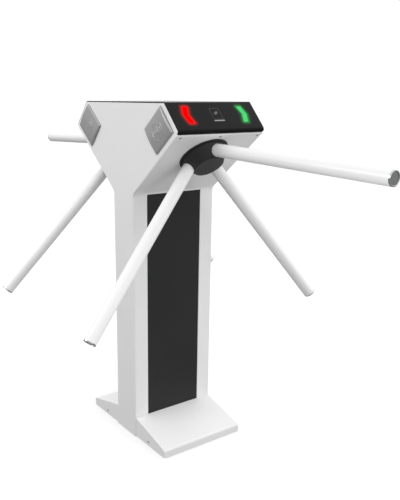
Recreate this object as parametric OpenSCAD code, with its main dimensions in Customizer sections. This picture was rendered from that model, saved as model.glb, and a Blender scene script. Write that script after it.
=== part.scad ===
// Free-standing tripod turnstile for two passages, with one cabinet between them.
// +Z is up, +X points into the right-hand passage, and the end that carries the card readers
// faces -Y. The origin is on the floor, at the centre of the cable hole in the base plate.

/* [Cabinet] */
// Height from the floor to the top of the cover
body_h = 1000; // [985:1:1020]
// Depth of the cabinet from one end face to the other
body_d = 286; // [280:2:300]
// Width of the column
column_w = 104; // [100:1:112]
// Width of the head across its outer edges
head_w = 540; // [530:1:560]
// Width of the flat top
top_w = 408; // [396:2:420]
// Height at which the column folds out into the slanted faces
neck_z = 748; // [740:1:756]
// Height of the head's outer edges
brow_z = 927; // [920:1:934]
// Outer radius of the fold between the column and a slanted face
fold_r = 20; // [10:5:60]
// Thickness of the painted cabinet sheet
sheet = 2; // [1.5:0.5:2.5]
// Thickness of the dark top cover
cover_t = 3; // [2:0.5:4]
// Width of the dark column panels that shows between the two painted strips
panel_w = 190; // [160:5:200]
// Height of the lower edge of the dark column panels
panel_z = 61; // [50:1:80]

/* [Feet] */
// Reach of a foot cover from the centre of the column
foot_reach = 206; // [200:1:230]
// Height of a foot cover where it meets the column
foot_h = 61.5; // [56:0.5:70]
// Height of a foot cover at its outer edge
foot_lip = 23; // [18:1:28]
// Depth of a foot cover
foot_d = 280; // [276:2:284]
// Thickness of the base plate
base_t = 8; // [6:1:12]
// Distance between the floor anchors across the passages
anchor_x = 300; // [280:5:320]
// Distance between the floor anchors along the passages
anchor_y = 200; // [160:5:210]
// Diameter of the floor anchor holes
anchor_d = 14; // [10:1:16]
// Diameter of the cable hole
cable_d = 50; // [30:5:60]

/* [Tripod] */
// Distance of the hub's centre from the fold, measured up the slanted face
hub_up = 183; // [175:1:190]
// Offset of the hub's centre from the middle of the cabinet
hub_y = -6.6; // [-15:0.2:15]
// Depth behind the slanted face at which the three arms' centre lines meet
arm_meet = 22.5; // [18:0.5:28]
// Angle between an arm and the hub's axis
arm_cone = 48.6; // [45:0.1:52]
// Distance from the meeting point to an arm's tip
arm_l = 602; // [500:1:650]
// Outer diameter of the arm tube
arm_d = 34; // [30:1:38]
// Wall of the arm tube
arm_wall = 2.5; // [1.5:0.5:4]
// Angle at which the hub is clamped on its shaft
arm_phase = 1.6; // [-5:0.1:5]
// Radius of the ring round the hub
bezel_r = 69.4; // [66:0.2:72]
// Height of the hub in front of the slanted face
hub_h = 39.6; // [36:0.2:44]
// Radius of the hub's end disc
disc_r = 42; // [38:0.5:44]

/* [Lock] */
// Number of notches in the index wheel
notches = 12; // [6, 12]

/* [Fittings] */
// Side of a card reader along the head's upper slant
reader_a = 86; // [70:1:90]
// Side of a card reader along the head's lower slant
reader_b = 95; // [85:1:100]
// Distance of a card reader's centre from the middle of the end face
reader_x = 182.3; // [178:0.1:190]
// Height of a card reader's centre
reader_z = 929.9; // [920:0.1:932]
// Distance of the red indicator's ends from the middle of the cover
stop_y = 88; // [80:0.5:92]
// Distance of the green indicator's ends from the middle of the cover
go_y = 90.5; // [80:0.5:92]
// Distance by which an indicator's point stands out beyond its ends
indicator_bend = 8; // [6:0.5:12]
// Width of an indicator's stroke
indicator_w = 15; // [14:0.5:20]
// Thickness of a card reader at its rim
reader_rim = 4; // [2:0.5:5]
// Rise of a card reader's face from its rim to its middle
reader_crown = 3.5; // [2:0.5:6]
// Radius of a card reader's corners
reader_corner = 2.2; // [1:0.1:6]

/* [Hidden] */
$fn = 72;
right = 1;
left = -1;

// Colours
white_paint = [0.88, 0.88, 0.88];
black_paint = [0.16, 0.16, 0.17];
hub_black = [0.13, 0.13, 0.14];
disc_black = [0.22, 0.22, 0.23];
reader_grey = [0.55, 0.56, 0.57];
steel = [0.70, 0.71, 0.73];
zinc = [0.62, 0.64, 0.66];
cap_grey = [0.45, 0.46, 0.47];
stop_red = [1.00, 0.05, 0.05];
go_green = [0.30, 0.85, 0.50];
sign_grey = [0.40, 0.40, 0.41];
board_green = [0.10, 0.38, 0.22];
motor_black = [0.18, 0.19, 0.21];

// Corners of the cabinet's outline in the plane across the passages, right-hand side
column_x = column_w / 2;
neck = [column_x, neck_z];
brow = [head_w / 2, brow_z];
shoulder = [top_w / 2, body_h];
slope = atan2(brow_z - neck_z, head_w / 2 - column_x);
slant_l = norm(brow - neck);
end_y = body_d / 2;

// Cover
lip_l = 12;
lip_set = 2.4;
lip_gap = 0.3;
brow_r = 8;
shoulder_r = 6;
arc_step = 7;
screw_up = slant_l - 20;
SCREW_YS = [-128, 0, 128];

// Base plate and feet
base_size = [396, 272];
tab_size = [24, 4, 17];
foot_screw = [121, 14];
screw_r = 2;
screw_play = 0.1;

// Frame
post = [60, 30];
post_h = 850;
post_wall = 3;
rib_hole = [120, 918];
rib_hole_r = 30;
BRACE_ZS = [120, 620];
brace = [40, 5];

// Indicators and signs, as distances up the cover's slanted face from its outer edge
indicator_top = 82;
indicator_low = 30.5;
sign_up = 57;
sign_y = 3;

// Drive, as depths behind the slanted face
shaft_r = 12.5;
running_gap = 0.05;
front_plate_z = 8;
rear_plate_z = 90;
plate_t = 6;
wheel_z = 60;
wheel_t = 6;
wheel_r = 48;
notch_depth = 8;
notch_w = 13;
rib_y = 118;
rib_t = 4;
pivot = [-58, -66];
pivot_r = 4;
pawl_z = wheel_z + 0.5;
pawl_t = 5;
tooth_tip = 49.5;
tooth_w = 7;
lever_half = 5;
plunger_x = 20;
plunger_r = 4;
plunger_gap = 0.5;

// Hub
rotor_gap = 0.6;
bezel_t = 4;
bezel_hole_r = 57;
hub_r = 64.6;
arm_root = 46;
cap_t = 4;
ARM_TURNS = [0, -120, 120];

// ---- Outline helpers ----

function unit(v) = v / norm(v);
function to_left(v) = [-v[1], v[0]];
function flip(p) = [-p[0], p[1]];
function back(list) = [for (i = [len(list) - 1 : -1 : 0]) list[i]];
function turn_sign(a, b, c) = sign(cross(b - a, c - b));

// Points of the arc that rounds corner b of the path a, b, c
function fillet(a, b, c, r) = r <= 0 ? [b] : let(
    u = unit(a - b),
    w = unit(c - b),
    half = acos(u * w) / 2,
    centre = b + unit(u + w) * r / sin(half),
    start = b + u * r / tan(half) - centre,
    sweep = (180 - 2 * half) * turn_sign(a, b, c),
    steps = max(2, ceil(abs(sweep) / arc_step))
) [for (i = [0 : steps]) let(t = sweep * i / steps)
    centre + [start[0] * cos(t) - start[1] * sin(t), start[0] * sin(t) + start[1] * cos(t)]];

// An open path with its inner corners rounded
function rounded(path, radii) = let(n = len(path)) concat(
    [path[0]],
    [for (i = [1 : n - 2]) each fillet(path[i - 1], path[i], path[i + 1], radii[i])],
    [path[n - 1]]
);

// A closed path with its corners rounded
function rounded_loop(path, radii) = let(n = len(path)) [
    for (i = [0 : n - 1])
        each fillet(path[(i + n - 1) % n], path[i], path[(i + 1) % n], radii[i])
];

// An open path moved to its left by t
function moved(path, t) = let(n = len(path)) [for (i = [0 : n - 1])
    let(
        before = i > 0 ? to_left(unit(path[i] - path[i - 1])) : to_left(unit(path[1] - path[0])),
        after = i < n - 1 ? to_left(unit(path[i + 1] - path[i])) : before
    )
    path[i] + t * (before + after) / (1 + before * after)];

function moved_radii(path, radii, t) = [for (i = [0 : len(path) - 1])
    i == 0 || i == len(path) - 1 || radii[i] <= 0 ? 0
        : radii[i] - t * turn_sign(path[i - 1], path[i], path[i + 1])];

module bent_sheet(path, radii, t) {
    polygon(concat(
        rounded(path, radii),
        back(rounded(moved(path, t), moved_radii(path, radii, t)))
    ));
}

// Extrudes a drawing of the plane across the passages from y to y + d
module along_y(y, d) {
    translate([0, y + d, 0])
        rotate([90, 0, 0])
            linear_extrude(d)
                children();
}

module on_side(side) {
    if (side == right)
        children();
    else
        mirror([1, 0, 0])
            children();
}

// A slanted face: x runs up the slope, y along the passage, z into the cabinet
module slanted_frame(side) {
    on_side(side)
        translate([column_x, 0, neck_z])
            rotate([0, -slope, 0])
                children();
}

// The same frame with its origin at the hub's centre, so the hub stands out along -z
module hub_frame(side) {
    slanted_frame(side)
        translate([hub_up, hub_y, 0])
            children();
}

// The cover's slanted face: x runs down to the outer edge, y along the passage, z outwards
module cover_frame(side) {
    on_side(side)
        translate([shoulder[0], 0, shoulder[1]])
            rotate([0, atan2(shoulder[1] - brow[1], brow[0] - shoulder[0]), 0])
                children();
}

// A point given by its distance up the slanted face and its depth behind it
function on_slant(up, depth) =
    neck + up * [cos(slope), sin(slope)] + depth * [-sin(slope), cos(slope)];

// ---- Cabinet ----

end_up = slant_l - lip_l;
crest = unit(brow - shoulder);
lip_start = on_slant(end_up + lip_gap, lip_set);
lip_way = unit(brow - neck);
lip_corner = lip_start + lip_way * cross(shoulder - lip_start, crest) / cross(lip_way, crest);
COVER_HALF = [lip_start, lip_corner, shoulder];
COVER_PATH = concat(COVER_HALF, [for (p = back(COVER_HALF)) flip(p)]);
COVER_RADII = [0, brow_r, shoulder_r, shoulder_r, brow_r, 0];
INNER_COVER = moved(COVER_PATH, cover_t);

module base_plate() {
    tab_y = foot_d / 2 - sheet - tab_size[1];
    color(zinc)
        difference() {
            union() {
                translate([-base_size[0] / 2, -base_size[1] / 2, 0])
                    cube([base_size[0], base_size[1], base_t]);
                for (side = [left, right], end = [-1, 1])
                    translate([side * foot_screw[0] - tab_size[0] / 2,
                            end * (tab_y + tab_size[1] / 2) - tab_size[1] / 2, base_t - 1])
                        cube(tab_size);
            }
            for (side = [left, right], end = [-1, 1])
                translate([side * anchor_x / 2, end * anchor_y / 2, -1])
                    cylinder(h = base_t + 2, d = anchor_d);
            for (side = [left, right])
                translate([side * foot_screw[0], foot_d / 2 + 10, foot_screw[1]])
                    rotate([90, 0, 0])
                        cylinder(h = foot_d + 20, r = screw_r + screw_play);
            translate([0, 0, -1])
                cylinder(h = base_t + 2, d = cable_d);
        }
}

// A post of square tube with a transverse rib that carries the drive units
module frame_half(end) {
    post_y = end > 0 ? rib_y - post[1] : -rib_y;
    rib = [
        [column_x - 8, neck_z - 60], on_slant(4, 8), on_slant(slant_l - 30, 8),
        moved([brow, shoulder, flip(shoulder)], 12)[0] - [6, -12],
        moved([brow, shoulder, flip(shoulder)], 12)[1]
    ];
    color(zinc) {
        difference() {
            translate([-post[0] / 2, post_y, base_t])
                cube([post[0], post[1], post_h]);
            translate([-post[0] / 2 + post_wall, post_y + post_wall, base_t - 1])
                cube([post[0] - 2 * post_wall, post[1] - 2 * post_wall, post_h + 2]);
        }
        difference() {
            along_y(end > 0 ? rib_y : -rib_y - rib_t, rib_t)
                polygon(concat(rib, [for (p = back(rib)) flip(p)]));
            for (side = [left, right])
                translate([side * rib_hole[0], end * rib_y - 10, rib_hole[1]])
                    rotate([-90, 0, 0])
                        cylinder(h = 20, r = rib_hole_r);
        }
    }
}

module frame_braces() {
    color(zinc)
        for (z = BRACE_ZS)
            translate([-brace[0] / 2, -rib_y + post[1], z])
                cube([brace[0], 2 * (rib_y - post[1]), brace[1]]);
}

module end_plate(end) {
    half = [[column_x, 0], neck, on_slant(end_up - lip_gap, 0),
        on_slant(end_up - lip_gap, lip_set + cover_t), INNER_COVER[1], INNER_COVER[2]];
    half_radii = [0, fold_r, 0, 0, brow_r - cover_t, shoulder_r - cover_t];
    color(white_paint)
        along_y(end > 0 ? end_y - sheet : -end_y, sheet)
            polygon(rounded_loop(
                concat(half, [for (p = back(half)) flip(p)]),
                concat(half_radii, back(half_radii))
            ));
}

// Column side, fold and slanted face, bent from one sheet and hemmed inwards at the cover
module skin(side) {
    hem_r = 2.4;
    hem_l = 6;
    path = [[column_x, base_t], neck, on_slant(end_up, 0), on_slant(end_up, hem_l)];
    color(white_paint)
        difference() {
            on_side(side)
                along_y(-end_y + sheet, body_d - 2 * sheet)
                    bent_sheet(path, [0, fold_r, hem_r, 0], sheet);
            on_side(side)
                translate([column_x - 20, -panel_w / 2, panel_z])
                    cube([40, panel_w, neck_z - 3 - panel_z]);
            hub_frame(side)
                translate([0, 0, -5])
                    cylinder(h = 12, r = bezel_hole_r);
            slanted_frame(side)
                for (y = SCREW_YS)
                    translate([screw_up, y, -1])
                        cylinder(h = sheet + 2, r = screw_r + screw_play);
        }
}

module top_cover() {
    color(black_paint)
        difference() {
            along_y(-end_y, body_d)
                bent_sheet(COVER_PATH, COVER_RADII, cover_t);
            for (side = [left, right], end = [-1, 1])
                cover_frame(side)
                    translate([0, 0, -cover_t - 1])
                        linear_extrude(cover_t + 2)
                            polygon(chevron(end, 0));
        }
}

// A domed socket screw: its head stands out along -z, its shank runs along +z
module socket_screw(head_r, shank_l) {
    head_h = 1.4;
    translate([0, 0, -head_h])
        difference() {
            cylinder(h = head_h, r1 = head_r - 0.8, r2 = head_r);
            translate([0, 0, -0.1])
                cylinder(h = 1, r = 1.5, $fn = 6);
        }
    cylinder(h = shank_l, r = screw_r);
}

module cover_screws() {
    color(steel)
        for (side = [left, right], y = SCREW_YS)
            slanted_frame(side)
                translate([screw_up, y, 0])
                    socket_screw(4, 6.5);
}

// Flat dark panel behind the opening in the column side
module panel(side) {
    color(black_paint)
        on_side(side)
            translate([column_x - sheet - 1.5, -panel_w / 2 - 8, panel_z - 20])
                cube([1.5, panel_w + 16, neck_z - panel_z + 22]);
}

// ---- Feet ----

module foot(side) {
    inner = column_x + 0.5;
    path = [[inner, foot_h], [foot_reach, foot_lip], [foot_reach, 0]];
    wedge = rounded(path, [0, 7, 0]);
    hollow = rounded(moved(path, -sheet), [0, 5, 0]);
    color(white_paint)
        on_side(side)
            difference() {
                along_y(-foot_d / 2, foot_d)
                    polygon(concat(wedge, [[inner, 0]]));
                along_y(-foot_d / 2 + sheet, foot_d - 2 * sheet)
                    polygon(concat(
                        [[inner - 5, foot_h - 1.5]], hollow,
                        [[foot_reach - sheet, -1], [inner - 5, -1]]
                    ));
                for (end = [-1, 1])
                    translate([foot_screw[0], end * foot_d / 2, foot_screw[1]])
                        rotate([90, 0, 0])
                            cylinder(h = 10, r = screw_r + screw_play, center = true);
            }
}

module foot_screws() {
    color(steel)
        for (side = [left, right], end = [-1, 1])
            translate([side * foot_screw[0], end * foot_d / 2, foot_screw[1]])
                rotate([90 * end, 0, 0])
                    socket_screw(4.2, 7);
}

// ---- Readers, indicators and signs ----

READER_A = unit(brow - shoulder);
READER_B = unit(brow - neck);

function reader_corners() = [for (k = [[-1, -1], [1, -1], [1, 1], [-1, 1]])
    k[0] * reader_a / 2 * READER_A + k[1] * reader_b / 2 * READER_B];

// A plate with a crowned face, curved across the upper slant's direction
module reader(side) {
    turn = atan2(READER_B[1], READER_B[0]);
    crown_r = (pow(reader_a / 2, 2) + pow(reader_crown, 2)) / (2 * reader_crown);
    color(reader_grey)
        on_side(side)
            translate([reader_x, -end_y, reader_z])
                rotate([90, 0, 0])
                    intersection() {
                        linear_extrude(reader_rim + reader_crown)
                            polygon(rounded_loop(reader_corners(), [for (k = [1 : 4]) reader_corner]));
                        rotate([0, 0, turn])
                            translate([-reader_b, 0, reader_rim + reader_crown - crown_r])
                                rotate([0, 90, 0])
                                    cylinder(h = 2 * reader_b, r = crown_r, $fn = 360);
                    }
}

// Indicator outline on the cover's slanted face, its point away from the middle
function chevron(end, gap) = let(
    far = norm(brow - shoulder),
    half = indicator_w / 2 - gap,
    top = far - indicator_top + gap,
    middle = far - (indicator_top + indicator_low) / 2,
    low = far - indicator_low - gap,
    y = end < 0 ? stop_y : go_y,
    point = y + indicator_bend,
    points = [[top, y - half], [middle, point - half], [low, y - half],
        [low, y + half], [middle, point + half], [top, y + half]]
) [for (p = points) [p[0], end * p[1]]];

// Flush lens with a flange behind the cover
module lens(side, end, tint) {
    color(tint)
        cover_frame(side) {
            translate([0, 0, -cover_t])
                linear_extrude(cover_t + 0.4)
                    polygon(chevron(end, 0.15));
            translate([0, 0, -cover_t - 2])
                linear_extrude(2)
                    polygon(chevron(end, -3));
        }
}

// Raised sign: the outline of a card with a small tag in it, above a bar
module sign(side) {
    rise = 0.6;
    stroke = 1.2;
    card = [36.5, 31];
    card_x = -20;
    tag = [7, 14];
    bar = [3.5, 34];
    bar_x = 19;
    color(sign_grey)
        cover_frame(side)
            translate([norm(brow - shoulder) - sign_up, sign_y, 0])
                linear_extrude(rise) {
                    translate([bar_x, -bar[1] / 2])
                        square(bar);
                    difference() {
                        translate([card_x, -card[1] / 2])
                            square(card);
                        translate([card_x + stroke, -card[1] / 2 + stroke])
                            square([card[0] - 2 * stroke, card[1] - 2 * stroke]);
                    }
                    translate([-4, 0])
                        rotate(35)
                            square(tag, center = true);
                }
}

module indicator_boards() {
    color(board_green)
        for (side = [left, right])
            cover_frame(side) {
                translate([8, -112, -cover_t - 9])
                    cube([70, 224, 1.6]);
                for (x = [14, 72], y = [-60, 60])
                    translate([x, y, -cover_t - 7.4])
                        cylinder(h = 7.4, r = 3);
                for (x = [20, 32, 44, 56, 68], y = [-92, 92])
                    translate([x - 3, y - 3, -cover_t - 7.4])
                        cube([6, 6, 2]);
            }
}

// ---- Electronics ----

module control_board() {
    board_y = rib_y - 30 - 26;
    color(board_green) {
        translate([-56, board_y - 1.6, 775])
            cube([112, 1.6, 130]);
        for (x = [-24, 24], z = [785, 850])
            translate([x, board_y, z])
                rotate([-90, 0, 0])
                    cylinder(h = 26, r = 3);
        for (k = [0 : 3])
            translate([-50 + 27 * k, board_y - 13.6, 778])
                cube([22, 12, 14]);
        translate([-18, board_y - 5.6, 830])
            cube([36, 4, 36]);
        for (x = [-44, 40])
            translate([x, board_y - 1.6, 870])
                rotate([90, 0, 0])
                    cylinder(h = 16, r = 7);
    }
}

module power_supply() {
    box = [80, 42, 170];
    box_z = 330;
    color(steel)
        difference() {
            translate([-box[0] / 2, -rib_y + 30, box_z])
                cube(box);
            for (k = [0 : 8])
                translate([-30, -rib_y + 30 + box[1] - 2, box_z + 40 + 12 * k])
                    cube([60, 3, 5]);
        }
}

// ---- Drive units ----

module bezel(side) {
    profile = [[bezel_hole_r, 0], [bezel_r, 0], [bezel_r, -bezel_t + 1.5],
        [bezel_r - 1.5, -bezel_t], [bezel_hole_r + 3, -bezel_t], [bezel_hole_r, -bezel_t + 1]];
    color(hub_black)
        hub_frame(side)
            rotate_extrude()
                polygon(profile);
}

// Two plates joined by four posts, bolted between the ribs, with the pawl's stud
module drive_frame(side) {
    depth_y = 2 * rib_y;
    plate_y = -rib_y - hub_y;
    plate_l = [150, 145];
    POST_XS = [-60, 65];
    POST_YS = [-98, 108];
    post_r = 6;
    stud_r = 7;
    color(zinc)
        hub_frame(side)
            difference() {
                union() {
                    translate([-70, plate_y, front_plate_z])
                        cube([plate_l[0], depth_y, plate_t]);
                    translate([-70, plate_y, rear_plate_z])
                        cube([plate_l[1], depth_y, plate_t]);
                    for (x = POST_XS, y = POST_YS)
                        translate([x, y, front_plate_z])
                            cylinder(h = rear_plate_z - front_plate_z + 2, r = post_r);
                    translate([pivot[0], pivot[1], front_plate_z])
                        cylinder(h = pawl_z - 0.5 - front_plate_z, r = stud_r);
                    translate([pivot[0], pivot[1], front_plate_z])
                        cylinder(h = pawl_z + pawl_t + 3 - front_plate_z, r = pivot_r);
                }
                for (z = [front_plate_z, rear_plate_z])
                    translate([0, 0, z - 1])
                        cylinder(h = plate_t + 2, r = shaft_r + 4);
            }
}

module bearing(side) {
    color(steel)
        hub_frame(side)
            translate([0, 0, front_plate_z + plate_t])
                difference() {
                    union() {
                        cylinder(h = 6, r = 44);
                        cylinder(h = 34, r = 32);
                        for (k = [0 : 3])
                            rotate(45 + 90 * k)
                                translate([38, 0, 6])
                                    cylinder(h = 3, r = 4, $fn = 6);
                    }
                    translate([0, 0, -1])
                        cylinder(h = 36, r = shaft_r + running_gap);
                }
}

module gearmotor(side) {
    color(motor_black)
        hub_frame(side)
            translate([0, 0, rear_plate_z + plate_t])
                difference() {
                    union() {
                        cylinder(h = 6, r = 34);
                        cylinder(h = 40, r = 29);
                        translate([-12, 22, 14])
                            cube([24, 16, 18]);
                    }
                    translate([0, 0, -1])
                        cylinder(h = 19, r = shaft_r + 0.1);
                }
}

module solenoid(side) {
    body_y = -84;
    color(motor_black)
        hub_frame(side)
            difference() {
                union() {
                    translate([plunger_x - 12, body_y - 25, wheel_z - 8])
                        cube([24, 25, 22]);
                    translate([plunger_x - 12, body_y - 25, front_plate_z + plate_t])
                        cube([24, 4, 40]);
                }
                translate([plunger_x, body_y - 20, wheel_z + 3])
                    rotate([-90, 0, 0])
                        cylinder(h = 30, r = plunger_r + 0.4);
            }
}

// Optical fork that reads the index wheel's notches
module sensor(side) {
    color(motor_black)
        hub_frame(side)
            difference() {
                union() {
                    translate([-8, 38, wheel_z - 8])
                        cube([16, 24, 22]);
                    translate([-8, 54, front_plate_z + plate_t])
                        cube([16, 8, 40]);
                }
                translate([-10, 30, wheel_z - 1.5])
                    cube([20, 20, wheel_t + 3]);
            }
}

// ---- Rotor ----

// Places an arm's own frame: z runs out along the arm from the meeting point
module arm_frame(turn) {
    translate([0, 0, arm_meet])
        rotate([0, 0, turn + arm_phase])
            rotate([0, 180 - arm_cone, 0])
                children();
}

module hub(side) {
    top_z = -bezel_t - rotor_gap;
    end_z = -hub_h + 2.6;
    profile = [[0, top_z], [hub_r, top_z], [hub_r, top_z - 2], [hub_r - 1.2, top_z - 3.6],
        [disc_r + 2.4, end_z + 1.8], [disc_r + 1.2, end_z], [0, end_z]];
    color(hub_black)
        hub_frame(side)
            difference() {
                rotate_extrude()
                    polygon(profile);
                for (turn = ARM_TURNS)
                    arm_frame(turn)
                        translate([0, 0, arm_root - 0.3])
                            cylinder(h = 80, r = arm_d / 2 + running_gap);
                translate([0, 0, -30])
                    cylinder(h = 60, r = shaft_r);
            }
}

module hub_disc(side) {
    color(disc_black)
        hub_frame(side)
            rotate_extrude()
                polygon([[0, -hub_h + 2.6], [disc_r, -hub_h + 2.6], [disc_r, -hub_h + 0.8],
                    [disc_r - 0.8, -hub_h], [0, -hub_h]]);
}

module shaft(side) {
    color(steel)
        hub_frame(side)
            translate([0, 0, -30])
                cylinder(h = 30 + rear_plate_z + plate_t + 16, r = shaft_r);
}

module index_wheel(side) {
    color(steel)
        hub_frame(side)
            difference() {
                union() {
                    translate([0, 0, wheel_z])
                        cylinder(h = wheel_t, r = wheel_r);
                    translate([0, 0, wheel_z - 8])
                        cylinder(h = wheel_t + 12, r = 20);
                }
                for (k = [0 : notches - 1])
                    rotate(90 + 360 / notches * k)
                        translate([wheel_r - notch_depth, -notch_w / 2, wheel_z - 1])
                            cube([notch_depth + 2, notch_w, wheel_t + 2]);
                translate([0, 0, wheel_z - 9])
                    cylinder(h = wheel_t + 14, r = shaft_r);
            }
}

module arm(side, turn) {
    color(white_paint)
        hub_frame(side)
            arm_frame(turn)
                translate([0, 0, arm_root])
                    difference() {
                        cylinder(h = arm_l - cap_t - arm_root, d = arm_d);
                        translate([0, 0, 4])
                            cylinder(h = arm_l, d = arm_d - 2 * arm_wall);
                    }
}

// Recessed caps with a plug inside each tube
module arm_caps(side) {
    r = arm_d / 2;
    color(cap_grey)
        hub_frame(side)
            for (turn = ARM_TURNS)
                arm_frame(turn)
                    translate([0, 0, arm_l])
                        rotate_extrude()
                            polygon([[0, -cap_t - 12], [r - arm_wall, -cap_t - 12],
                                [r - arm_wall, -cap_t], [r, -cap_t], [r, -0.8], [r - 0.8, 0],
                                [r - 3, 0], [r - 3.6, -1.8], [0, -1.8]]);
}

// ---- Lock ----

module pawl(side) {
    color(steel)
        hub_frame(side)
            translate([0, 0, pawl_z])
                difference() {
                    union() {
                        translate([pivot[0], pivot[1], 0])
                            cylinder(h = pawl_t, r = 9);
                        translate([pivot[0], pivot[1] - lever_half, 0])
                            cube([88, 2 * lever_half, pawl_t]);
                        translate([-tooth_w / 2, pivot[1], 0])
                            cube([tooth_w, -pivot[1] - tooth_tip, pawl_t]);
                    }
                    translate([pivot[0], pivot[1], -1])
                        cylinder(h = pawl_t + 2, r = pivot_r + running_gap);
                }
}

module plunger(side) {
    tip_y = pivot[1] - lever_half - plunger_gap;
    color(steel)
        hub_frame(side)
            translate([plunger_x, tip_y, wheel_z + 3])
                rotate([90, 0, 0]) {
                    cylinder(h = 3, r1 = 1.8, r2 = plunger_r);
                    translate([0, 0, 3])
                        cylinder(h = 16, r = plunger_r);
                }
}

// ---- Nodes ----

base_plate();
frame_half(-1);  // frame_front
frame_half(1);  // frame_rear
frame_braces();
end_plate(-1);  // end_plate_front
end_plate(1);  // end_plate_rear
skin(right);  // skin_right
skin(left);  // skin_left
top_cover();
cover_screws();
panel(right);  // panel_right
panel(left);  // panel_left
foot(right);  // foot_right
foot(left);  // foot_left
foot_screws();
reader(right);  // reader_right
reader(left);  // reader_left
lens(right, -1, stop_red);  // stop_lens_right
lens(left, -1, stop_red);  // stop_lens_left
lens(right, 1, go_green);  // go_lens_right
lens(left, 1, go_green);  // go_lens_left
sign(right);  // sign_right
sign(left);  // sign_left
indicator_boards();
control_board();
power_supply();
bezel(right);  // bezel_right
bezel(left);  // bezel_left
drive_frame(right);  // drive_frame_right
drive_frame(left);  // drive_frame_left
bearing(right);  // bearing_right
bearing(left);  // bearing_left
gearmotor(right);  // gearmotor_right
gearmotor(left);  // gearmotor_left
solenoid(right);  // solenoid_right
solenoid(left);  // solenoid_left
sensor(right);  // sensor_right
sensor(left);  // sensor_left
hub(right);  // hub_right
hub(left);  // hub_left
hub_disc(right);  // hub_disc_right
hub_disc(left);  // hub_disc_left
shaft(right);  // shaft_right
shaft(left);  // shaft_left
index_wheel(right);  // index_wheel_right
index_wheel(left);  // index_wheel_left
arm(right, ARM_TURNS[0]);  // arm_top_right
arm(left, ARM_TURNS[0]);  // arm_top_left
arm(right, ARM_TURNS[1]);  // arm_front_right
arm(left, ARM_TURNS[1]);  // arm_front_left
arm(right, ARM_TURNS[2]);  // arm_rear_right
arm(left, ARM_TURNS[2]);  // arm_rear_left
arm_caps(right);  // arm_caps_right
arm_caps(left);  // arm_caps_left
pawl(right);  // pawl_right
pawl(left);  // pawl_left
plunger(right);  // plunger_right
plunger(left);  // plunger_left
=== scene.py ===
import math

import bmesh
import bpy
from mathutils import Matrix, Vector
from mathutils.geometry import tessellate_polygon


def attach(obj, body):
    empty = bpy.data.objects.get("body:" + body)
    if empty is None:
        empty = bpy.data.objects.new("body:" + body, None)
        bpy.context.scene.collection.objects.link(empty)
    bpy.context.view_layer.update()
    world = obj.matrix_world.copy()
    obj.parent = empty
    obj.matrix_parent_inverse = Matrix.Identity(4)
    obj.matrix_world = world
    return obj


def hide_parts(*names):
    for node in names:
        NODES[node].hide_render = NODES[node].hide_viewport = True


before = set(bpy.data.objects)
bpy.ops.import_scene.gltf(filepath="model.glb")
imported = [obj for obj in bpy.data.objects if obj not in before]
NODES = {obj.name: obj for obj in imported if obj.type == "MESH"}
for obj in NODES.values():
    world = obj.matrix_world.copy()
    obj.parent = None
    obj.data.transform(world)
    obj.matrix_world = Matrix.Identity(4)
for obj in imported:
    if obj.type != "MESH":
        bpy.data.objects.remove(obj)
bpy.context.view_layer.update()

# Dimensions of part.scad, in metres
COLUMN_X = 0.052
NECK = Vector((0.052, 0.748))
BROW = Vector((0.270, 0.927))
SHOULDER = Vector((0.204, 1.000))
END_Y = 0.143
SHEET = 0.002
COVER_T = 0.003
FOLD_R = 0.020
BROW_R = 0.008
SHOULDER_R = 0.006
LIP_L = 0.012
LIP_SET = 0.0024
LIP_GAP = 0.0003
PANEL_HALF = 0.095
PANEL_Z = 0.061
PANEL_TOP = 0.745
CAP_DEPTH = 0.0045
CAP_R = 0.0042
BASE_T = 0.008
HUB_UP = 0.183
HUB_Y = -0.0066
BEZEL_HOLE_R = 0.057
ARM_MEET = 0.0225
ARM_CONE = math.radians(48.6)
ARM_L = 0.602
ARM_PHASE = math.radians(1.6)
ARM_TURNS = {"top": 0.0, "front": -120.0, "rear": 120.0}
READER_SIZE = (0.086, 0.095)
READER_AT = (0.1823, 0.9299)
READER_RIM = 0.004
READER_CROWN = 0.0035
READER_CORNER = 0.0022
STOP_Y = 0.088
GO_Y = 0.0905
INDICATOR_BEND = 0.008
INDICATOR_HALF = 0.0075
INDICATOR_ENDS = (0.082, 0.0305)
HEM_R = 0.0024
HEM_L = 0.006
COVER_CORNER = 0.006
COVER_END = 0.0012  # the cover stops this far inside the end faces
SHARP_CORNER = 0.0006
HUB_GAP = 0.001  # between the bezel's hole and the skin's
SIGN_MIDDLE = 0.057
SIGN_Y = 0.003
SIDES = {"right": 1, "left": -1}

SLANT = (BROW - NECK).normalized()
SLANT_L = (BROW - NECK).length
INWARD = Vector((-SLANT.y, SLANT.x))
CREST = (BROW - SHOULDER).normalized()
CREST_L = (BROW - SHOULDER).length
END_UP = SLANT_L - LIP_L


def on_slant(up, depth):
    """Point at a distance up the right-hand slanted face and a depth behind it."""
    return NECK + up * SLANT + depth * INWARD


# ---- Mesh helpers ----

def link(name, mesh):
    obj = bpy.data.objects.new(name, mesh)
    bpy.context.scene.collection.objects.link(obj)
    return obj


def finish_mesh(bm, name):
    mesh = bpy.data.meshes.new(name)
    bmesh.ops.recalc_face_normals(bm, faces=bm.faces)
    bm.to_mesh(mesh)
    bm.free()
    for face in mesh.polygons:
        face.use_smooth = True
    return link(name, mesh)


def weighted(obj):
    mod = obj.modifiers.new("weighted", "WEIGHTED_NORMAL")
    mod.mode = "FACE_AREA"
    mod.weight = 80
    mod.keep_sharp = True
    return obj


def crisp(obj, angle=0.7):
    """Marks the edges sharper than angle, so that weighted normals stop there."""
    bm = bmesh.new()
    bm.from_mesh(obj.data)
    for edge in bm.edges:
        if len(edge.link_faces) == 2 and edge.calc_face_angle(0) > angle:
            edge.smooth = False
    bm.to_mesh(obj.data)
    bm.free()
    return weighted(obj)


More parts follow.
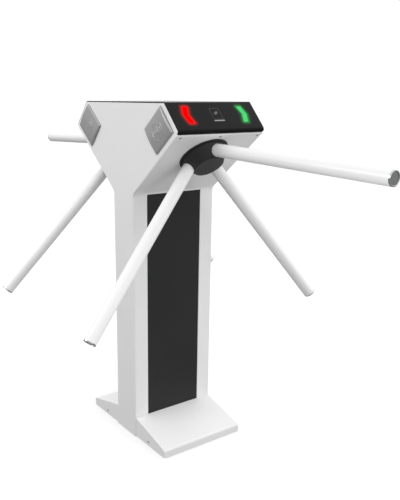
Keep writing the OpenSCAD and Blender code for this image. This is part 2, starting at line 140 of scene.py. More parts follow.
def fillet(a, b, c, r, step):
    """Points of the arc that rounds corner b, each with its outward (right-hand) normal."""
    u = (a - b).normalized()
    w = (c - b).normalized()
    turn = 1 if (b - a).cross(c - b) > 0 else -1
    half = u.angle(w) / 2
    centre = b + (u + w).normalized() * r / math.sin(half)
    start = b + u * r / math.tan(half) - centre
    sweep = (math.pi - 2 * half) * turn
    count = max(2, math.ceil(abs(sweep) / step))
    out = []
    for i in range(count + 1):
        arm = Matrix.Rotation(sweep * i / count, 2) @ start
        out.append((centre + arm, arm.normalized() * turn))
    return out


def bend_path(points, radii, step=math.radians(5)):
    """An open path with rounded corners as a list of (length, point, outward normal)."""
    out = []
    for i, point in enumerate(points):
        if 0 < i < len(points) - 1 and radii[i] > 0:
            out += fillet(points[i - 1], point, points[i + 1], radii[i], step)
        else:
            near = points[i + 1] if i < len(points) - 1 else point
            far = point if i < len(points) - 1 else points[i - 1]
            way = (near - far).normalized()
            out.append((point, Vector((way.y, -way.x))))
    path = []
    run = 0.0
    for i, (point, normal) in enumerate(out):
        if i:
            run += (point - out[i - 1][0]).length
        path.append((run, point, normal))
    return path


def run_at(path, target):
    """Length along the path at which it passes closest to a point."""
    best = (1e9, 0.0)
    for (s0, p0, _), (s1, p1, _) in zip(path, path[1:]):
        span = p1 - p0
        if span.length < 1e-9:
            continue
        t = max(0.0, min(1.0, (target - p0).dot(span) / span.length_squared))
        away = (p0 + span * t - target).length
        if away < best[0]:
            best = (away, s0 + (s1 - s0) * t)
    return best[1]


def on_path(path, s, y, h):
    """Point at length s along the path and height h above it, as (x, y, z)."""
    for (s0, p0, n0), (s1, p1, n1) in zip(path, path[1:]):
        if s <= s1 + 1e-9:
            break
    t = max(0.0, min(1.0, (s - s0) / max(s1 - s0, 1e-9)))
    point = p0.lerp(p1, t) + n0.lerp(n1, t).normalized() * h
    return Vector((point.x, y, point.y))


def inset_dirs(loop):
    """Mitred directions into the material, which lies to the left of the loop."""
    out = []
    n = len(loop)
    for i in range(n):
        a, b, c = loop[i - 1], loop[i], loop[(i + 1) % n]
        u = (b - a).normalized()
        w = (c - b).normalized()
        nu, nw = Vector((-u.y, u.x)), Vector((-w.y, w.x))
        out.append((nu + nw) / (1 + nu.dot(nw)))
    return out


def flat_solid(loops, rims, thickness, steps=4):
    """A plate in (s, y, h), its outer face at h = 0, with quarter-round rims.
    The first loop runs anticlockwise and the others, its openings, clockwise."""
    bm = bmesh.new()
    tops, lows = [], []
    for loop, rim in zip(loops, rims):
        dirs = inset_dirs(loop)
        radii = rim if isinstance(rim, list) else [rim] * len(loop)
        rings = [[bm.verts.new((p.x, p.y, -thickness)) for p in loop]]
        for k in range(steps + 1):
            a = math.pi / 2 * k / steps
            ring = []
            for p, d, r in zip(loop, dirs, radii):
                q = p + d * r * (1 - math.cos(a))
                ring.append(bm.verts.new((q.x, q.y, -r + r * math.sin(a))))
            rings.append(ring)
        n = len(loop)
        for low, high in zip(rings, rings[1:]):
            for i in range(n):
                j = (i + 1) % n
                bm.faces.new((low[i], low[j], high[j], high[i]))
        tops.append(rings[-1])
        lows.append(rings[0])
    for group, turn in ((tops, 1), (lows, -1)):
        flat = [v for ring in group for v in ring]
        tris = tessellate_polygon([[v.co.copy() for v in ring] for ring in group])
        for tri in tris:
            bm.faces.new([flat[k] for k in (tri if turn > 0 else reversed(tri))])
    return bm


def bent_piece(name, path, loops, rims, thickness, side=1):
    """A plate laid out flat, cut at the path's stations and folded along it."""
    bm = flat_solid(loops, rims, thickness)
    bmesh.ops.recalc_face_normals(bm, faces=bm.faces)
    lo = min(v.co.x for v in bm.verts)
    hi = max(v.co.x for v in bm.verts)
    for s, _, _ in path[1:-1]:
        if lo + 1e-6 < s < hi - 1e-6:
            bmesh.ops.bisect_plane(bm, geom=bm.verts[:] + bm.edges[:] + bm.faces[:],
                                   dist=1e-7, plane_co=(s, 0, 0), plane_no=(1, 0, 0))
    for vert in bm.verts:
        spot = on_path(path, vert.co.x, vert.co.y, vert.co.z)
        vert.co = Vector((spot.x * side, spot.y, spot.z))
    bmesh.ops.remove_doubles(bm, verts=bm.verts, dist=1e-7)
    return crisp(finish_mesh(bm, name))


def hole_loop(cx, cy, r, count=72):
    """A clockwise circle."""
    return [Vector((cx + r * math.cos(-2 * math.pi * k / count),
                    cy + r * math.sin(-2 * math.pi * k / count))) for k in range(count)]


def rounded_loop(corners, radii):
    """A closed loop with rounded corners."""
    out = []
    n = len(corners)
    for i in range(n):
        if radii[i] <= 0:
            out.append(corners[i])
        else:
            out += [p for p, _ in fillet(corners[i - 1], corners[i], corners[(i + 1) % n],
                                         radii[i], math.radians(9))]
    return out


def lathe(name, profile, matrix, count):
    """Turns a profile of (radius, height, material index) round the z axis of matrix."""
    bm = bmesh.new()
    rings = []
    for r, h, _ in profile:
        if r < 1e-9:
            rings.append([bm.verts.new(matrix @ Vector((0, 0, h)))])
        else:
            rings.append([bm.verts.new(matrix @ Vector((r * math.cos(2 * math.pi * k / count),
                                                        r * math.sin(2 * math.pi * k / count), h)))
                          for k in range(count)])
    for i, (low, high) in enumerate(zip(rings, rings[1:])):
        for k in range(count):
            j = (k + 1) % count
            if len(low) == 1:
                face = bm.faces.new((low[0], high[k], high[j]))
            elif len(high) == 1:
                face = bm.faces.new((low[k], low[j], high[0]))
            else:
                face = bm.faces.new((low[k], low[j], high[j], high[k]))
            face.material_index = profile[i + 1][2]
    return crisp(finish_mesh(bm, name), 0.5)


# ---- Frames of the tripods ----

def mirror_x(side):
    return Matrix.Diagonal((side, 1, 1, 1))


def hub_matrix(side):
    """Origin at the hub's centre on the slanted face, z into the cabinet, x up the slope."""
    centre = on_slant(HUB_UP, 0)
    base = Matrix((
        (SLANT.x, 0, INWARD.x, centre.x),
        (0, 1, 0, HUB_Y),
        (SLANT.y, 0, INWARD.y, centre.y),
        (0, 0, 0, 1)))
    return mirror_x(side) @ base


def arm_matrix(side, turn):
    return (hub_matrix(side) @ Matrix.Translation((0, 0, ARM_MEET))
            @ Matrix.Rotation(math.radians(turn) + ARM_PHASE, 4, "Z")
            @ Matrix.Rotation(math.pi - ARM_CONE, 4, "Y"))


# ---- Node helpers for materials ----

class Mat:
    """A principled material with object coordinates in metres."""

    def __init__(self, name, colour, roughness, metallic=0.0, specular=0.5, coat=0.0):
        self.mat = bpy.data.materials.new(name)
        self.mat.use_nodes = True
        self.tree = self.mat.node_tree
        self.tree.nodes.clear()
        output = self.tree.nodes.new("ShaderNodeOutputMaterial")
        self.bsdf = self.tree.nodes.new("ShaderNodeBsdfPrincipled")
        self.tree.links.new(self.bsdf.outputs[0], output.inputs[0])
        self.put("Base Color", (*colour, 1))
        self.put("Roughness", roughness)
        self.put("Metallic", metallic)
        self.put("Specular IOR Level", specular)
        self.put("Coat Weight", coat)
        self.put("Coat Roughness", 0.1)
        self.put("IOR", 1.5)
        self.coords = self.tree.nodes.new("ShaderNodeTexCoord").outputs["Object"]
        self.normal = None

    def put(self, socket, value):
        self.bsdf.inputs[socket].default_value = value

    def link(self, source, target):
        self.tree.links.new(source, target)

    def math(self, kind, a, b=None, clamp=False):
        node = self.tree.nodes.new("ShaderNodeMath")
        node.operation = kind
        node.use_clamp = clamp
        for k, value in enumerate((a, b)):
            if value is None:
                continue
            if isinstance(value, (int, float)):
                node.inputs[k].default_value = value
            else:
                self.link(value, node.inputs[k])
        return node.outputs[0]

    def vec(self, kind, a, b=None):
        node = self.tree.nodes.new("ShaderNodeVectorMath")
        node.operation = kind
        for k, value in enumerate((a, b)):
            if value is None:
                continue
            if isinstance(value, (tuple, Vector)):
                node.inputs[k].default_value = value
            else:
                self.link(value, node.inputs[k])
        return node.outputs["Value"] if kind in ("DOT_PRODUCT", "LENGTH") else node.outputs[0]

    def mapped(self, value, vector):
        """The vector times a value."""
        node = self.tree.nodes.new("ShaderNodeCombineXYZ")
        for k in range(3):
            self.link(self.math("MULTIPLY", value, vector[k]), node.inputs[k])
        return node.outputs[0]

    def noise(self, scale, detail=3.0, rough=0.5, stretch=None):
        node = self.tree.nodes.new("ShaderNodeTexNoise")
        node.inputs["Scale"].default_value = scale
        node.inputs["Detail"].default_value = detail
        node.inputs["Roughness"].default_value = rough
        source = self.coords
        if stretch:
            source = self.vec("MULTIPLY", source, stretch)
        self.link(source, node.inputs["Vector"])
        return node.outputs[0]

    def spread(self, value, low, high, start=0.3, end=0.7):
        """Maps start..end to low..high, and holds the value beyond both."""
        node = self.tree.nodes.new("ShaderNodeMapRange")
        node.inputs["From Min"].default_value = start
        node.inputs["From Max"].default_value = end
        node.inputs["To Min"].default_value = low
        node.inputs["To Max"].default_value = high
        self.link(value, node.inputs["Value"])
        return node.outputs[0]

    def mix(self, factor, a, b):
        node = self.tree.nodes.new("ShaderNodeMix")
        node.data_type = "RGBA"
        for k, value in ((0, factor), (6, a), (7, b)):
            if isinstance(value, (int, float)):
                node.inputs[k].default_value = value
            elif isinstance(value, tuple):
                node.inputs[k].default_value = (*value, 1)
            else:
                self.link(value, node.inputs[k])
        return node.outputs[2]

    def bump(self, height, strength, distance):
        node = self.tree.nodes.new("ShaderNodeBump")
        node.inputs["Strength"].default_value = strength
        node.inputs["Distance"].default_value = distance
        self.link(height, node.inputs["Height"])
        if self.normal is not None:
            self.link(self.normal, node.inputs["Normal"])
        self.normal = node.outputs[0]
        self.link(self.normal, self.bsdf.inputs["Normal"])


def tone(colour, factor):
    return tuple(c * factor for c in colour)


def painted(name, colour, rough, spread=0.08, peel=900.0, peel_depth=0.00004, grime=0.04, **more):
    """Sprayed coat: orange peel, uneven gloss and a faint clouding of the colour."""
    m = Mat(name, colour, rough, **more)
    cloud = m.noise(5.0, 4.0)
    m.link(m.mix(m.spread(cloud, 0.0, 1.0, 0.35, 0.7), tone(colour, 1 + grime / 2),
                 tone(colour, 1 - grime)), m.bsdf.inputs["Base Color"])
    m.link(m.spread(m.noise(38.0, 5.0, 0.6), rough - spread, rough + spread),
           m.bsdf.inputs["Roughness"])
    m.bump(m.noise(peel, 2.0), 0.35, peel_depth)
    return m


def line_distance(m, point, a, b):
    """Distance of a point from the segment a-b."""
    span = b - a
    rel = m.vec("SUBTRACT", point, tuple(a))
    run = m.math("DIVIDE", m.vec("DOT_PRODUCT", rel, tuple(span.normalized())), span.length,
                 clamp=True)
    near = m.mapped(run, tuple(span))
    return m.vec("LENGTH", m.vec("SUBTRACT", rel, near))


def squared(m, value):
    """The square of a value above zero, and zero below it."""
    return m.math("POWER", m.math("MAXIMUM", value, 0.0), 2.0)


# ---- Indicators ----

def cover_point(x, y):
    """Point of the cover's right-hand slanted face, x down from the shoulder."""
    p = SHOULDER + CREST * x
    return Vector((p.x, y, p.y))


def chevron_line(y, bend):
    """Middle of an indicator's stroke, from its upper end to its lower end."""
    high, low = INDICATOR_ENDS
    return [cover_point(CREST_L - high, y), cover_point(CREST_L - (high + low) / 2, y + bend),
            cover_point(CREST_L - low, y)]


STOP_RED = (1.0, 0.0, 0.0)
GO_GREEN = (0.09, 0.70, 0.21)

# ---- Materials ----

white = painted("white_coat", (0.80, 0.80, 0.80), 0.42, grime=0.02)
arm_coat = painted("arm_coat", (0.85, 0.85, 0.85), 0.34, spread=0.04, peel=700.0,
                   peel_depth=0.000012, grime=0.012, coat=0.15)

black = painted("black_coat", (0.0050, 0.0050, 0.0053), 0.22, spread=0.04, peel=1600.0,
                peel_depth=0.00002, grime=0.15, specular=0.11)
black.bump(black.noise(2600.0, 2.0), 0.25, 0.00002)
# Painted glow: the black coat itself emits the indicators' red and green light round them, alike on
# both slants
mirrored = black.vec("MULTIPLY", black.vec("ABSOLUTE", black.coords), (1.0, 0.0, 1.0))
sideways = black.vec("MULTIPLY", black.coords, (0.0, 1.0, 0.0))
folded = black.vec("ADD", mirrored, sideways)
down = black.math("SUBTRACT", black.vec("DOT_PRODUCT", folded, (CREST.x, 0, CREST.y)),
                  SHOULDER.dot(CREST))
beyond = black.math("MAXIMUM", black.math("SUBTRACT", down, CREST_L - INDICATOR_ENDS[1]),
                    black.math("SUBTRACT", CREST_L - INDICATOR_ENDS[0], down))
GLOW_REACH = 0.016
glow = None
for y, bend, tint, power in ((-STOP_Y, -INDICATOR_BEND, (0.80, 0.0, 0.0), 2.8),
                             (GO_Y, INDICATOR_BEND, (0.02, 0.33, 0.05), 3.0)):
    line = chevron_line(y, bend)
    away = black.math("MINIMUM", line_distance(black, folded, line[0], line[1]),
                      line_distance(black, folded, line[1], line[2]))
    beside = black.math("SUBTRACT", away, INDICATOR_HALF)
    away = black.math("SQRT", black.math("ADD", squared(black, beside), squared(black, beyond)))
    near = black.math("POWER", black.spread(away, 1.0, 0.0, 0.0, GLOW_REACH), power)
    part = black.mapped(near, tint)
    glow = part if glow is None else black.vec("ADD", glow, part)
# the painted glow goes into the black coat's emission
black.link(glow, black.bsdf.inputs["Emission Color"])
black.put("Emission Strength", 1.0)

panel = painted("charcoal_panel", (0.020, 0.020, 0.0208), 0.5, spread=0.05, peel=1200.0,
                grime=0.12, specular=0.25)
hub_plastic = painted("hub_plastic", (0.021, 0.021, 0.0215), 0.42, spread=0.06, peel=1500.0,
                      grime=0.1, specular=0.3)
disc_plastic = painted("disc_plastic", (0.038, 0.038, 0.039), 0.5, spread=0.05, peel=1400.0,
                       grime=0.1, specular=0.3)
reader_coat = painted("reader_coat", (0.335, 0.335, 0.336), 0.38, spread=0.05, peel=2400.0,
                      grime=0.06, metallic=0.35)
ring_metal = Mat("cap_ring", (0.55, 0.56, 0.57), 0.16, metallic=1.0)
ring_metal.link(ring_metal.spread(ring_metal.noise(600.0), 0.10, 0.24),
                ring_metal.bsdf.inputs["Roughness"])
ring_metal.bump(ring_metal.noise(900.0), 0.2, 0.00002)
cap_plastic = painted("cap_face", (0.17, 0.171, 0.173), 0.5, spread=0.05, peel=1800.0, grime=0.08)
sign_coat = painted("sign_coat", (0.040, 0.040, 0.041), 0.4, spread=0.05, peel=2200.0,
                    grime=0.15)
tag_coat = painted("sign_tag_coat", (0.095, 0.095, 0.097), 0.4, spread=0.05, peel=2200.0,
                   grime=0.15)
# The bar's light grey paint is a painted highlight: it stands in for the glint of a polished strip
bar_glint_coat = painted("sign_bar_painted_glint", (0.34, 0.34, 0.345), 0.35, spread=0.05, peel=2200.0,
                   grime=0.1)


def metal(name, colour, rough, stretch=None, spangle=0.0):
    """Bare or plated metal, drawn along one axis by stretch or spangled like zinc."""
    m = Mat(name, colour, rough, metallic=1.0)
    line = m.noise(420.0, 4.0, 0.6, stretch)
    m.link(m.spread(line, rough - 0.07, rough + 0.1), m.bsdf.inputs["Roughness"])
    if spangle:
        cell = m.tree.nodes.new("ShaderNodeTexVoronoi")
        cell.inputs["Scale"].default_value = 90.0
        m.link(m.coords, cell.inputs["Vector"])
        shade = m.mix(cell.outputs["Distance"], tone(colour, 1 + spangle),
                      tone(colour, 1 - spangle))
    else:
        shade = m.mix(m.noise(30.0), tone(colour, 1.06), tone(colour, 0.92))
    m.link(shade, m.bsdf.inputs["Base Color"])
    m.bump(line, 0.25, 0.00003)
    return m


zinc = metal("zinc_plate", (0.72, 0.73, 0.74), 0.45, spangle=0.12)
bright = metal("bright_steel", (0.66, 0.66, 0.67), 0.22, stretch=(1, 1, 0.1))
case = metal("case_steel", (0.5, 0.5, 0.52), 0.34, stretch=(0.1, 1, 1))
motor = painted("motor_enamel", (0.03, 0.031, 0.034), 0.4, spread=0.08, grime=0.1)
board = painted("board_mask", (0.02, 0.13, 0.06), 0.32, spread=0.06, peel=500.0, grime=0.25)


def lens_material(name, colour, strength, fleck):
    """A lit lens: a steady glow with faint flecks of a second tint."""
    m = Mat(name, tone(colour, 0.12), 0.3, specular=0.0)
    glow = m.spread(m.noise(160.0, 2.0), 0.92 * strength, 1.06 * strength)
    m.link(glow, m.bsdf.inputs["Emission Strength"])
    spot = m.noise(700.0, 2.0)
    m.link(m.mix(m.spread(spot, 0.0, 0.35), colour, fleck), m.bsdf.inputs["Emission Color"])
    m.bump(spot, 0.2, 0.00003)
    return m


stop = lens_material("stop_lens", STOP_RED, 1.3, (0.95, 0.0, 0.0))
go = lens_material("go_lens", GO_GREEN, 0.88, (0.095, 0.70, 0.21))

SLOT_MATERIALS = {
    "white_paint": white, "arm_white": arm_coat, "cover_black": black, "panel_charcoal": panel,
    "hub_black": hub_plastic, "disc_black": disc_plastic, "reader_grey": reader_coat,
    "cap_grey": cap_plastic, "stop_red": stop, "go_green": go, "sign_grey": sign_coat,
    "zinc_steel": zinc, "bright_steel": bright, "case_steel": case, "board_green": board,
    "motor_black": motor,
}


def dress(obj, material, body="cabinet", replaces=()):
    """Gives a piece its material or materials, its body and the nodes it replaces."""
    for m in (material if isinstance(material, (list, tuple)) else [material]):
        obj.data.materials.append(m.mat)
    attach(obj, body)
    if replaces:
        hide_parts(*replaces)
    return obj


# ---- CAD nodes that stay: their own finish and eased edges ----

EASED = {
    "foot": 0.0016, "hub_disc": 0.0006, "hub": 0.0005, "bezel": 0.0005,
    "cover_screws": 0.00025, "foot_screws": 0.00025, "stop_lens": 0.0003, "go_lens": 0.0003,
    "base_plate": 0.0008, "frame": 0.0006, "drive_frame": 0.0006, "panel": 0.0004,
}


def eased(obj, width):
    """Rounds a CAD node's sharp edges with modifiers."""
    weld = obj.modifiers.new("weld", "WELD")
    weld.merge_threshold = 0.000002
    flat = obj.modifiers.new("flat", "DECIMATE")
    flat.decimate_type = "DISSOLVE"
    flat.angle_limit = math.radians(0.6)
    bevel = obj.modifiers.new("ease", "BEVEL")
    bevel.width = width
    bevel.segments = 3
    bevel.limit_method = "ANGLE"
    bevel.angle_limit = math.radians(28)
    bevel.use_clamp_overlap = True
    weighted(obj)


for name, obj in sorted(NODES.items()):
    for place in obj.material_slots:
        place.material = SLOT_MATERIALS[place.material.name].mat
    stem = name.rsplit("_", 1)[0] if name.endswith(("_right", "_left", "_front", "_rear")) else name
    if stem in EASED:
        eased(obj, EASED[stem])

# ---- Cabinet sheets ----

skin_path = bend_path([Vector((COLUMN_X, BASE_T)), NECK, on_slant(END_UP, 0),
                       on_slant(END_UP, HEM_L)], [0, FOLD_R, HEM_R, 0], math.radians(4))
skin_y = END_Y - CAP_DEPTH
WINDOW_TOP_OUT = 0.0033  # the fold has already left the column's plane at the window's top
s_hub = run_at(skin_path, on_slant(HUB_UP, 0))
s_end = skin_path[-1][0]
s_window = (run_at(skin_path, Vector((COLUMN_X, PANEL_Z))),
            run_at(skin_path, Vector((COLUMN_X + WINDOW_TOP_OUT, PANEL_TOP))))
window = rounded_loop([Vector((s_window[0], -PANEL_HALF)), Vector((s_window[0], PANEL_HALF)),
                       Vector((s_window[1], PANEL_HALF)), Vector((s_window[1], -PANEL_HALF))],
                      [SHARP_CORNER] * 4)
for side_name, side in SIDES.items():
    outer = [Vector((0, -skin_y)), Vector((s_end, -skin_y)), Vector((s_end, skin_y)),
             Vector((0, skin_y))]
    hole = hole_loop(s_hub, HUB_Y, BEZEL_HOLE_R + HUB_GAP)
    skin = bent_piece("skin_" + side_name + "_sheet", skin_path, [outer, window, hole],
                      [0.0001, 0.0008, 0.0003], SHEET, side)
    dress(skin, white, replaces=["skin_" + side_name])

# Cover, its lip set back behind the white hem
lip_start = on_slant(END_UP + LIP_GAP, LIP_SET)
cover_brow = lip_start + SLANT * ((SHOULDER - lip_start).cross(CREST) / SLANT.cross(CREST))
half = [lip_start, cover_brow, SHOULDER]
flip = [Vector((-p.x, p.y)) for p in reversed(half)]
cover_path = bend_path(half + flip, [0, BROW_R, SHOULDER_R, SHOULDER_R, BROW_R, 0], math.radians(5))
cover_y = END_Y - COVER_END
cover_len = cover_path[-1][0]
# Where the shoulder's corner would be, measured back from a point on the slant below its fold
BELOW_FOLD = 0.03
s_shoulder = run_at(cover_path, SHOULDER + CREST * BELOW_FOLD) + BELOW_FOLD


def chevron_loop(end, side):
    """Opening for an indicator: end -1 is the red one and 1 the green one."""
    y = GO_Y if end > 0 else STOP_Y
    high, low = INDICATOR_ENDS
    middle = (high + low) / 2
    pts = []
    for k in (-INDICATOR_HALF, INDICATOR_HALF):
        edge = [(CREST_L - high, y + k), (CREST_L - middle, y + INDICATOR_BEND + k),
                (CREST_L - low, y + k)]
        pts += edge if k < 0 else edge[::-1]
    return cover_loop([(x, end * v) for x, v in pts], side, False)


def cover_loop(points, side, solid):
    """Points (down from the shoulder, y) as a loop of the cover's sheet laid flat."""
    loop = []
    for x, y in points:
        run = s_shoulder - x
        loop.append(Vector((run if side > 0 else cover_len - run, y)))
    area = sum(a.cross(b) for a, b in zip(loop, loop[1:] + loop[:1]))
    return loop if (area > 0) == solid else loop[::-1]


cover_loops = [rounded_loop([Vector((0, -cover_y)), Vector((cover_len, -cover_y)),
                             Vector((cover_len, cover_y)), Vector((0, cover_y))],
                            [COVER_CORNER] * 4)]
cover_loops += [chevron_loop(end, side) for end in (-1, 1) for side in (1, -1)]
cover = bent_piece("top_cover_sheet", cover_path, cover_loops, [0.0010] + [0.0003] * 4, COVER_T)
dress(cover, black, replaces=["top_cover"])

# Signs: the outline of a card with a small tag in it, above a bar whose light paint is a painted
# highlight

def sign_piece(name, loops, rise):
    """A thin piece on the cover's sheet, its face at a height of rise above it."""
    bm = flat_solid(loops, [SIGN_RIM] * len(loops), SIGN_T, 2)
    for vert in bm.verts:
        vert.co = on_path(cover_path, vert.co.x, vert.co.y, vert.co.z + rise)
    return crisp(finish_mesh(bm, name))


def box_points(x0, x1, y0, y1):
    return [(x0, y0), (x1, y0), (x1, y1), (x0, y1)]


def sign_loop(points, side, solid=True, corner=0.0):
    """Points round the sign's middle as a loop of the cover's sheet."""
    loop = cover_loop([(CREST_L - SIGN_MIDDLE + x, SIGN_Y + y) for x, y in points], side, solid)
    return rounded_loop(loop, [corner] * len(loop)) if corner else loop


SIGN_RIM = 0.00025
SIGN_T = 0.0012
BAR_BOX = box_points(0.0190, 0.0225, -0.017, 0.017)
CARD_BOX = box_points(-0.020, 0.0165, -0.0155, 0.0155)
CARD_INNER_BOX = box_points(-0.0188, 0.0153, -0.0143, 0.0143)
TAG_LEAN = math.radians(35)
TAG_X = -0.004
TAG_POINTS = [(TAG_X + x * math.cos(TAG_LEAN) - y * math.sin(TAG_LEAN),
               x * math.sin(TAG_LEAN) + y * math.cos(TAG_LEAN))
              for x, y in box_points(-0.0035, 0.0035, -0.007, 0.007)]
for side_name, side in SIDES.items():
    bar = sign_piece("sign_bar_" + side_name, [sign_loop(BAR_BOX, side)], 0.0006)
    dress(bar, bar_glint_coat)
    outline = sign_piece("sign_outline_" + side_name,
                         [sign_loop(CARD_BOX, side, True, 0.003),
                          sign_loop(CARD_INNER_BOX, side, False, 0.002)], 0.0003)
    dress(outline, sign_coat, replaces=["sign_" + side_name])
    tag = sign_piece("sign_tag_" + side_name, [sign_loop(TAG_POINTS, side, True, 0.0012)], 0.0004)
    dress(tag, tag_coat)

# End caps, rounded over to the sides

def moved(points, t):
    """An open line moved to its left by t."""
    out = []
    last = len(points) - 1
    for i, p in enumerate(points):
        before = (points[max(i, 1)] - points[max(i, 1) - 1]).normalized()
        after = (points[i + 1] - points[i]).normalized() if i < last else before
        nb, na = Vector((-before.y, before.x)), Vector((-after.y, after.x))
        out.append(p + (nb + na) * t / (1 + nb.dot(na)))
    return out


# Half of the cap's outline as (corner, corner radius, rounding of its rim), from the floor up
under = moved(half + flip, COVER_T)
CAP_HALF = [
    (Vector((COLUMN_X, 0)), 0, 0.0012),
    (NECK, FOLD_R, CAP_R),
    (on_slant(END_UP - LIP_GAP, 0), 0.0012, 0.0016),
    (on_slant(END_UP - LIP_GAP, LIP_SET + COVER_T), 0.0006, 0.0012),
    (under[1], BROW_R - COVER_T, 0.0012),
    (under[2], 0.0035, 0.0012),
]
cap_corners = CAP_HALF + [(Vector((-p.x, p.y)), r, rim) for p, r, rim in reversed(CAP_HALF)]
cap_loop, cap_rim = [], []
for i, (p, r, rim) in enumerate(cap_corners):
    if r <= 0:
        pts = [p]
    else:
        after = cap_corners[(i + 1) % len(cap_corners)][0]
        pts = [q for q, _ in fillet(cap_corners[i - 1][0], p, after, r, math.radians(5))]
    cap_loop += pts
    cap_rim += [rim] * len(pts)

# On each long side the wide rounding starts a little way from the end with the narrow one
LONG_SIDE = 0.05
RIM_START = 0.012
outline, outline_rim = [], []
for i, (p, rim) in enumerate(zip(cap_loop, cap_rim)):
    q = cap_loop[(i + 1) % len(cap_loop)]
    next_rim = cap_rim[(i + 1) % len(cap_loop)]
    outline.append(p)
    outline_rim.append(rim)
    span = (q - p).length
    if span > LONG_SIDE and abs(rim - next_rim) > 1e-5:
        t = RIM_START / span if rim < next_rim else 1 - RIM_START / span
        outline.append(p.lerp(q, t))
        outline_rim.append(max(rim, next_rim))

for end_name, end in (("front", -1), ("rear", 1)):
    bm = flat_solid([outline], [outline_rim], CAP_DEPTH, steps=6)
    for vert in bm.verts:
        x, z, h = vert.co
        vert.co = Vector((x, end * (END_Y + h), z))
    cap = crisp(finish_mesh(bm, "end_cap_" + end_name), 0.9)
    dress(cap, white, replaces=["end_plate_" + end_name])

# ---- Arm caps: polished ring round a recessed face ----

# Radius, height and material (0 the ring, 1 the face), from inside the tube to the face's middle
CAP_PROFILE = [
    (0.0, -0.012, 1), (0.0143, -0.012, 1), (0.0143, -0.004, 1), (0.0169, -0.004, 0),
    (0.0170, -0.0036, 0), (0.0170, -0.0012, 0), (0.01685, -0.0006, 0), (0.0164, -0.0002, 0),
    (0.0158, 0.0, 0), (0.0146, 0.0, 0), (0.0140, -0.0002, 0), (0.0136, -0.0006, 0),
    (0.0134, -0.0018, 0), (0.0128, -0.0019, 1), (0.0120, -0.0014, 1), (0.0112, -0.0012, 1),
    (0.0, -0.0011, 1)]
for side_name, side in SIDES.items():
    for arm_name, turn in ARM_TURNS.items():
        where = arm_matrix(side, turn) @ Matrix.Translation((0, 0, ARM_L))
        cap = lathe("arm_cap_%s_%s" % (arm_name, side_name), CAP_PROFILE, where, 64)
        dress(cap, [ring_metal, cap_plastic], body="rotor_" + side_name)
    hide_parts("arm_caps_" + side_name)

# ---- Readers ----

MARK_SOFT = 0.0004
MARK_RISE = 0.0007

# A reader's sides run along the head's upper slant, a, and its lower slant, b

def reader_height(a):
    crown_r = ((READER_SIZE[0] / 2) ** 2 + READER_CROWN ** 2) / (2 * READER_CROWN)
    return READER_RIM + READER_CROWN - crown_r + math.sqrt(crown_r ** 2 - a ** 2)


def smooth_band(value, centre, half_w):
    """1 within half_w of the centre and 0 outside, with a soft step between."""
    away = abs(value - centre) - half_w
    return max(0.0, min(1.0, 0.5 - away / (2 * MARK_SOFT)))


def emboss(a, b):
    """Raised symbol: arcs on both sides of a small card, and a row of dots below."""
    up = a * CREST.y + b * SLANT.y
    across = a * CREST.x + b * SLANT.x
    raised = 0.0
    r = math.hypot(across, up)
    lean = abs(math.atan2(up, abs(across)))
    for ring, limit in ((0.0145, 0.75), (0.0225, 0.95)):
        if lean < limit:
            raised = max(raised, smooth_band(r, ring, 0.0012))
    tilt_x, tilt_y = 0.88 * across + 0.47 * up, 0.88 * up - 0.47 * across
    card = min(smooth_band(tilt_x, 0, 0.0052), smooth_band(tilt_y, 0, 0.0078))
    hollow = min(smooth_band(tilt_x, 0, 0.0030), smooth_band(tilt_y, 0.0012, 0.0040))
    raised = max(raised, card - 0.8 * hollow)
    for k in (-1, 0, 1):
        raised = max(raised, smooth_band(math.hypot(across - 0.009 * k, up + 0.0245), 0, 0.0018))
    return raised * MARK_RISE


def edge_drop(inset):
    """Fall of a reader's face towards its rim: a wide chamfer with eased corners."""
    width, depth, ease = 0.0030, 0.0020, 0.0006
    t = (width - inset) / ease
    drop = ease * (math.log1p(math.exp(t)) if t < 30 else t) * depth / width
    return drop + (0.0005 * (1 - inset / 0.0004) ** 2 if inset < 0.0004 else 0.0)


def stations(half_len, edge=0.005, pitch=0.0007):
    """Grid lines across a reader, even in its middle and closer within edge of its rim."""
    near = [0.0, 0.0001, 0.0002, 0.0004, 0.0009, 0.0014, 0.0019, 0.0024, 0.0028, 0.0032, 0.0036,
            0.0042]
    inner = half_len - edge
    count = int(2 * inner / pitch)
    return ([-half_len + e for e in near]
            + [-inner + 2 * inner * k / count for k in range(count + 1)]
            + [half_len - e for e in reversed(near)])


def reader_mesh(name, side):
    ha, hb = READER_SIZE[0] / 2, READER_SIZE[1] / 2
    corner = READER_CORNER
    us, vs = stations(ha), stations(hb)
    bm = bmesh.new()

    def spot(a, b, y):
        p = CREST * a + SLANT * b
        return Vector((side * (READER_AT[0] + p.x), -END_Y - y, READER_AT[1] + p.y))

    grid = []
    for u in us:
        row = []
        for v in vs:
            a, b = u, v
            da, db = abs(u) - (ha - corner), abs(v) - (hb - corner)
            if da > 0 and db > 0:
                k = max(da, db) / math.hypot(da, db)
                a = math.copysign(ha - corner + da * k, u)
                b = math.copysign(hb - corner + db * k, v)
                inset = corner - max(da, db)
            else:
                inset = min(ha - abs(u), hb - abs(v))
            height = reader_height(a) + emboss(a, b) - edge_drop(max(inset, 0.0))
            row.append(bm.verts.new(spot(a, b, height)))
        grid.append(row)
    nu, nv = len(us), len(vs)
    for i in range(nu - 1):
        for j in range(nv - 1):
            bm.faces.new((grid[i][j], grid[i + 1][j], grid[i + 1][j + 1], grid[i][j + 1]))
    rim = ([grid[i][0] for i in range(nu)] + [grid[-1][j] for j in range(1, nv)]
           + [grid[i][-1] for i in range(nu - 2, -1, -1)]
           + [grid[0][j] for j in range(nv - 2, 0, -1)])
    low = [bm.verts.new((v.co.x, -END_Y, v.co.z)) for v in rim]
    n = len(rim)
    for k in range(n):
        j = (k + 1) % n
        bm.faces.new((rim[k], low[k], low[j], rim[j]))
    bm.faces.new(low)
    return finish_mesh(bm, name)


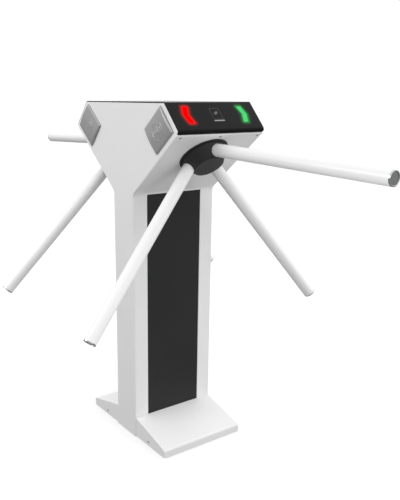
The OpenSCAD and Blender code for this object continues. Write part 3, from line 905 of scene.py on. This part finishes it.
for side_name, side in SIDES.items():
    reader = reader_mesh("reader_%s_plate" % side_name, side)
    dress(reader, reader_coat, replaces=["reader_" + side_name])

# ---- Studio ----

FLOOR_HALF = 400
floor_bm = bmesh.new()
bmesh.ops.create_grid(floor_bm, x_segments=8, y_segments=8, size=FLOOR_HALF)
floor = finish_mesh(floor_bm, "studio_floor")
floor.location.z = -0.0006  # just under the part's base
floor_mat = Mat("studio_floor_paint", (0.97, 0.97, 0.97), 0.9, specular=0.0)
floor.data.materials.append(floor_mat.mat)
floor.visible_diffuse = False
floor.visible_glossy = False

world = bpy.data.worlds.new("studio")
bpy.context.scene.world = world
world.use_nodes = True
sky = world.node_tree
sky.nodes.clear()


def sky_range(source, low_at, high_at, low, high):
    node = sky.nodes.new("ShaderNodeMapRange")
    node.inputs["From Min"].default_value = low_at
    node.inputs["From Max"].default_value = high_at
    node.inputs["To Min"].default_value = low
    node.inputs["To Max"].default_value = high
    sky.links.new(source, node.inputs["Value"])
    return node.outputs[0]


def sky_math(kind, a, b):
    node = sky.nodes.new("ShaderNodeMath")
    node.operation = kind
    sky.links.new(a, node.inputs[0])
    sky.links.new(b, node.inputs[1])
    return node.outputs[0]


# White all round, darker below the horizon, a little brighter overhead and dimmer towards -y
sky_way = sky.nodes.new("ShaderNodeSeparateXYZ")
sky.links.new(sky.nodes.new("ShaderNodeTexCoord").outputs["Generated"], sky_way.inputs[0])
level = sky_range(sky_way.outputs["Z"], -0.10, -0.002, 0.33, 1.0)
overhead = sky_range(sky_way.outputs["Z"], 0.1, 1.0, 0.0, 0.22)
front_dim = sky_range(sky_way.outputs["Y"], -1.0, -0.1, 0.74, 1.0)
background = sky.nodes.new("ShaderNodeBackground")
background.inputs["Color"].default_value = (1, 1, 1, 1)
sky.links.new(sky_math("MULTIPLY", sky_math("ADD", level, overhead), front_dim),
              background.inputs["Strength"])
sky.links.new(background.outputs[0], sky.nodes.new("ShaderNodeOutputWorld").inputs[0])


def area(name, spot, target, size, power, shine=True):
    """A soft rectangular light that the camera doesn't see; shine lets glossy paint show it."""
    light = bpy.data.lights.new(name, "AREA")
    light.shape = "RECTANGLE"
    light.size, light.size_y = size
    light.energy = power
    obj = bpy.data.objects.new(name, light)
    bpy.context.scene.collection.objects.link(obj)
    obj.location = spot
    obj.rotation_euler = (Vector(target) - Vector(spot)).to_track_quat("-Z", "Y").to_euler()
    obj.visible_camera = False
    obj.visible_glossy = shine


area("key", (-0.5, -1.9, 1.7), (0, -0.1, 0.95), (1.0, 1.0), 13)
area("fill", (2.3, 1.6, 0.3), (0.2, 0.05, 0.85), (1.2, 0.9), 6, False)
area("graze", (1.0, 2.3, 0.45), (0.2, 0.0, 0.85), (0.8, 0.6), 15, False)
area("under", (0.85, -0.32, 0.57), (0.24, -0.02, 0.88), (0.4, 0.4), 0.85, False)

# ---- Camera ----

# Fitted to the photograph's view of the cabinet
azimuth, elevation, reach = math.radians(55.283), math.radians(15.375), 1.9413
roll = math.radians(0.108)
target = Vector((0, 0, 0.5))
back = Vector((math.sin(azimuth) * math.cos(elevation), -math.cos(azimuth) * math.cos(elevation),
               math.sin(elevation)))
camera_data = bpy.data.cameras.new("camera")
camera_data.lens = 45.50
camera_data.shift_x = 0.0717
camera_data.shift_y = 0.0394
camera_data.clip_end = 2000
camera = bpy.data.objects.new("camera", camera_data)
bpy.context.scene.collection.objects.link(camera)
camera.location = target + back * reach
camera.rotation_euler = (-back).to_track_quat("-Z", "Y").to_euler()
camera.rotation_euler.rotate_axis("Z", roll)
bpy.context.scene.camera = camera

bpy.context.scene.view_settings.view_transform = "Standard"
